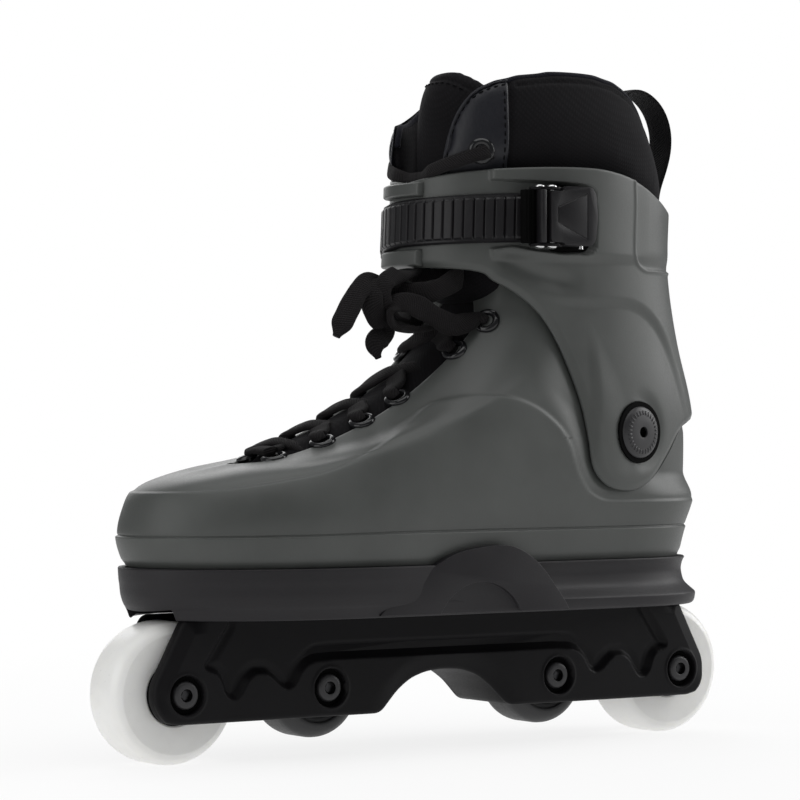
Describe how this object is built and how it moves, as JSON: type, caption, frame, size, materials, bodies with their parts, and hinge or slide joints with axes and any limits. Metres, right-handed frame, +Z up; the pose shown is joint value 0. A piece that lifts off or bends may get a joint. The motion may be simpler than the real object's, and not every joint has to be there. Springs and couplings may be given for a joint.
{
  "type": "inline skate",
  "caption": "Aggressive inline skate for the left foot: moulded boot on a sole plate and wheel frame, flexing ankle cuff, ratchet strap, laced liner and free-spinning wheels.",
  "frame": {"origin": "on the ground, under the middle of the wheelbase", "axes": "+X towards the toe, +Y towards the outer side of a left foot, which carries the buckle, +Z up"},
  "size_m": [0.311, 0.1035, 0.289],
  "materials": {
    "grey_plastic": "moulded nylon with a fine satin grain",
    "black_plastic": "moulded nylon, satin",
    "white_urethane": "cast urethane, slightly glossy",
    "black_urethane": "cast urethane, satin",
    "black_neoprene": "knit-faced neoprene over foam, stitched",
    "black_webbing": "woven polyester",
    "black_steel": "black oxide, semi-gloss",
    "bare_steel": "ground steel",
    "foam": "closed-cell foam"
  },
  "bodies": {
    "boot": {"boot_shell": "grey_plastic", "soul_plate": "black_plastic", "frame": "black_plastic", "cuff_bolt_outer": "black_plastic", "cuff_bolt_inner": "black_plastic", "shock_absorber": "black_urethane", "liner_bootie": "black_neoprene", "lace_lattice": "black_webbing", "lace_bow": "black_webbing", "axle_bolt_front": "black_steel", "axle_bolt_front_inner": "black_steel", "axle_bolt_rear_inner": "black_steel", "axle_bolt_rear": "black_steel", "axle_nut_front": "black_steel", "axle_nut_front_inner": "black_steel", "axle_nut_rear_inner": "black_steel", "axle_nut_rear": "black_steel", "frame_bolt_front": "black_steel", "frame_bolt_rear": "black_steel", "cuff_nut_outer": "bare_steel", "cuff_nut_inner": "bare_steel", "frame_nut_front": "bare_steel", "frame_nut_rear": "bare_steel", "footbed": "foam"},
    "cuff_flap": {"cuff": "grey_plastic", "liner_collar": "black_neoprene", "tongue": "black_neoprene", "pull_loop": "black_webbing", "ladder_strap": "black_plastic", "strap_screw": "black_steel", "buckle_base": "black_steel", "buckle_pin": "bare_steel", "pawl_pin": "bare_steel"},
    "buckle_lever": {"buckle_lever": "black_plastic"},
    "buckle_pawl": {"buckle_pawl": "black_steel"},
    "wheel_front": {"tyre_front": "white_urethane", "core_front": "black_plastic", "bearing_front_outer": "bare_steel", "bearing_front_inner": "bare_steel", "spacer_front": "bare_steel"},
    "wheel_front_inner": {"tyre_front_inner": "black_urethane", "core_front_inner": "black_plastic", "bearing_front_inner_outer": "bare_steel", "bearing_front_inner_inner": "bare_steel", "spacer_front_inner": "bare_steel"},
    "wheel_rear_inner": {"tyre_rear_inner": "black_urethane", "core_rear_inner": "black_plastic", "bearing_rear_inner_outer": "bare_steel", "bearing_rear_inner_inner": "bare_steel", "spacer_rear_inner": "bare_steel"},
    "wheel_rear": {"tyre_rear": "white_urethane", "core_rear": "black_plastic", "bearing_rear_outer": "bare_steel", "bearing_rear_inner": "bare_steel", "spacer_rear": "bare_steel"}
  },
  "joints": [
    {"name": "wheel_front_spin", "type": "hinge", "parent": "boot", "child": "wheel_front", "pos_m": [0.1265, 0, 0.029], "axis": [0, 1, 0], "continuous": true},
    {"name": "wheel_front_inner_spin", "type": "hinge", "parent": "boot", "child": "wheel_front_inner", "pos_m": [0.0585, 0, 0.029], "axis": [0, 1, 0], "continuous": true},
    {"name": "wheel_rear_inner_spin", "type": "hinge", "parent": "boot", "child": "wheel_rear_inner", "pos_m": [-0.0585, 0, 0.029], "axis": [0, 1, 0], "continuous": true},
    {"name": "wheel_rear_spin", "type": "hinge", "parent": "boot", "child": "wheel_rear", "pos_m": [-0.1265, 0, 0.029], "axis": [0, 1, 0], "continuous": true},
    {"name": "cuff_flex", "type": "hinge", "parent": "boot", "child": "cuff_flap", "pos_m": [-0.085, 0, 0.134], "axis": [0, 1, 0], "range_deg": [-6, 5], "stiffness_Nm_per_rad": 20},
    {"name": "buckle_open", "type": "hinge", "parent": "cuff_flap", "child": "buckle_lever", "pos_m": [-0.0325, 0.0502, 0.2245], "axis": [0, 0, -1], "range_deg": [0, 75]},
    {"name": "pawl_lift", "type": "hinge", "parent": "cuff_flap", "child": "buckle_pawl", "pos_m": [-0.0485, 0.0492, 0.2245], "axis": [0, 0, 1], "range_deg": [0, 12]}
  ],
  "couplings": [
    {"joint": "pawl_lift", "follows": "buckle_open", "ratio": 0.15}
  ]
}
